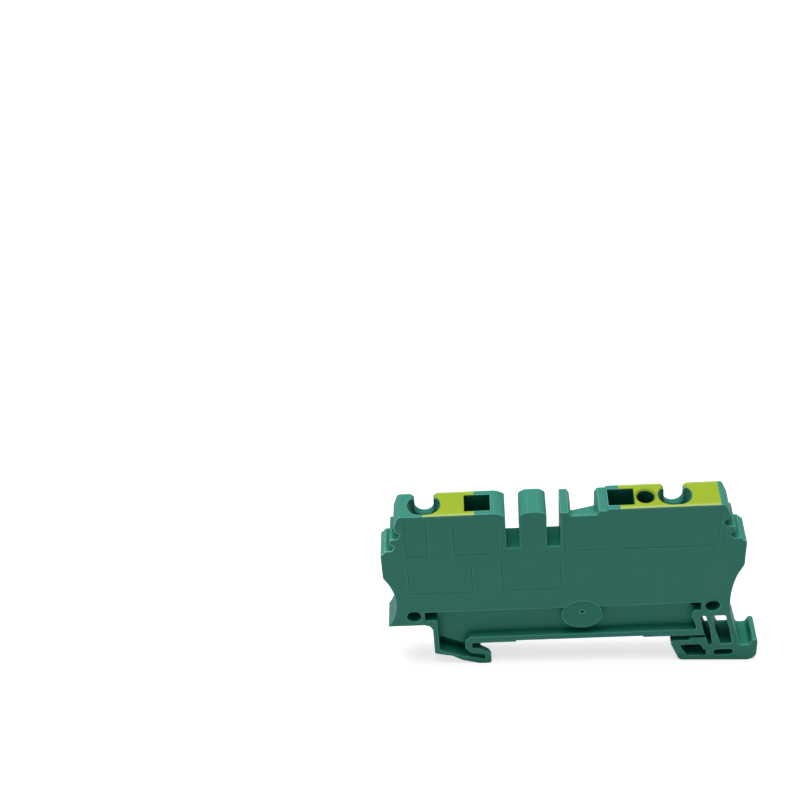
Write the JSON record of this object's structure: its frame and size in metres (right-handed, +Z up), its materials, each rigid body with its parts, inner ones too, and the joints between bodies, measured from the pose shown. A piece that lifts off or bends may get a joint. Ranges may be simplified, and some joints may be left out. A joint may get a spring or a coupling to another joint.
{
  "type": "earth terminal block",
  "caption": "Thin rail-mounted earth terminal block with top-entry wire funnels, screwdriver holes, a test hole, jumper slots, a hook and a sprung latch foot.",
  "frame": {"origin": "middle of the rail seat, at mid thickness: the point where the block's seat meets the top face of the rail's edges", "axes": "+X along the block from the hook towards the latch foot, +Y through the thickness from the closed near face to the open far face, +Z up, away from the rail"},
  "size_m": [0.0595, 0.0064, 0.0362],
  "materials": {
    "housing": "fine satin moulded nylon, green",
    "spring_steel": "rolled spring strip",
    "tinned_copper": "bright tin",
    "plated_steel": "bright zinc"
  },
  "bodies": {
    "root": {"housing": "housing", "clamp_spring_hook_side": "spring_steel", "clamp_spring_foot_side": "spring_steel", "current_bar": "tinned_copper", "contact_foot": "plated_steel"}
  },
  "joints": []
}
